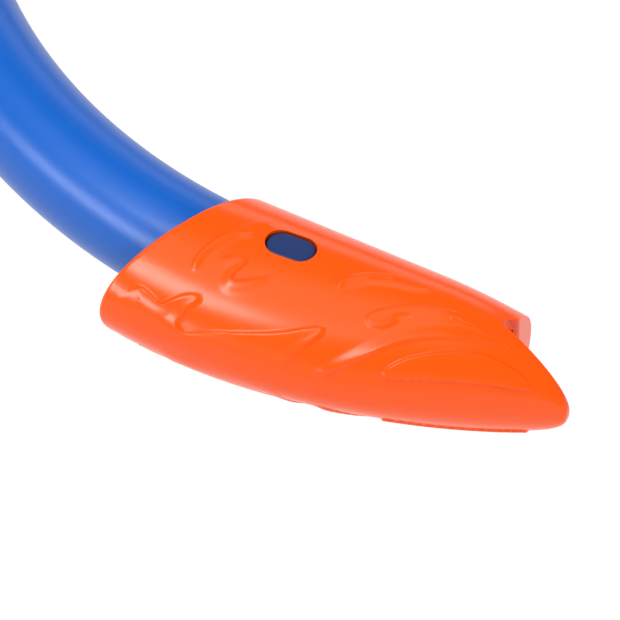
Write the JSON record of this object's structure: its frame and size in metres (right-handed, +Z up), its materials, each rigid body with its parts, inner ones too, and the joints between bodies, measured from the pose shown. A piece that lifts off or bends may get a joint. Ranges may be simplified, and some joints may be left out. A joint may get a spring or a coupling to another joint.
{
  "type": "snorkel tube",
  "caption": "Curved diving snorkel with an open-beak splash guard, snap latches, strap keeper, purge chamber and swivelling mouthpiece.",
  "frame": {"origin": "bottom centre of the whole snorkel's box as it lies on its side", "axes": "+Z up, square to the plane of the tube's bend; +Y along the straight length, towards the splash guard; -X towards the wearer"},
  "size_m": [0.1206, 0.3522, 0.0432],
  "materials": {
    "tube_blue": "satin moulded",
    "latch_navy": "satin moulded",
    "guard_orange": "glossy moulded, raised flame lines",
    "keeper_black": "fine grain",
    "bush_grey": "soft",
    "pin_steel": "drawn",
    "chamber_blue": "satin moulded",
    "collar_orange": "soft grip",
    "seal_black": "smooth",
    "seat_white": "plain",
    "valve_silicone": "soft silicone",
    "cover_orange": "glossy moulded",
    "sleeve_blue": "plain",
    "mouthpiece_navy": "soft silicone",
    "band_black": "fine grain"
  },
  "bodies": {
    "tube": {"main_tube": "tube_blue", "splash_guard": "guard_orange", "splash_baffle": "guard_orange"},
    "latch_upper": {"latch_tongue_upper": "latch_navy"},
    "latch_lower": {"latch_tongue_lower": "latch_navy"},
    "keeper_bush": {"keeper_liner": "bush_grey"},
    "keeper": {"keeper_ring": "keeper_black", "clip_pin": "pin_steel"},
    "clip": {"strap_clip": "keeper_black"},
    "chamber": {"purge_chamber": "chamber_blue", "neck_seal": "seal_black", "neck_collar": "collar_orange", "valve_seat": "seat_white", "purge_cover": "cover_orange", "port_seal": "seal_black"},
    "purge_valve": {"purge_membrane": "valve_silicone"},
    "mouthpiece": {"swivel_sleeve": "sleeve_blue", "mouthpiece": "mouthpiece_navy", "clamp_band": "band_black"}
  },
  "joints": [
    {"name": "latch_upper_press", "type": "hinge", "parent": "tube", "child": "latch_upper", "pos_m": [-0.00326, 0.12768, 0.02859], "axis": [-0.5736, -0.8192, 0], "range_deg": [0, 8], "stiffness_Nm_per_rad": 0.3},
    {"name": "latch_lower_press", "type": "hinge", "parent": "tube", "child": "latch_lower", "pos_m": [-0.00326, 0.12768, 0.0066], "axis": [0.5736, 0.8192, 0], "range_deg": [0, 8], "stiffness_Nm_per_rad": 0.3},
    {"name": "keeper_slide", "type": "slide", "parent": "tube", "child": "keeper_bush", "axis": [0, 1, 0], "range_m": [-0.03, 0.03]},
    {"name": "keeper_turn", "type": "hinge", "parent": "keeper_bush", "child": "keeper", "pos_m": [0.04467, -0.01459, 0.01759], "axis": [0, 1, 0], "continuous": true},
    {"name": "clip_open", "type": "hinge", "parent": "keeper", "child": "clip", "pos_m": [0.04467, 0.00391, 0.0378], "axis": [-1, 0, 0], "range_deg": [0, 110]},
    {"name": "chamber_turn", "type": "hinge", "parent": "tube", "child": "chamber", "pos_m": [0.0254, -0.12253, 0.01759], "axis": [-0.4226, -0.9063, 0], "range_deg": [-45, 45]},
    {"name": "purge_lift", "type": "slide", "parent": "chamber", "child": "purge_valve", "axis": [-0.4226, -0.9063, 0], "range_m": [0, 0.0012], "stiffness_N_per_m": 60},
    {"name": "mouthpiece_turn", "type": "hinge", "parent": "chamber", "child": "mouthpiece", "pos_m": [0.0161, -0.14247, 0.01759], "axis": [-0.9063, 0.4226, 0], "continuous": true}
  ]
}
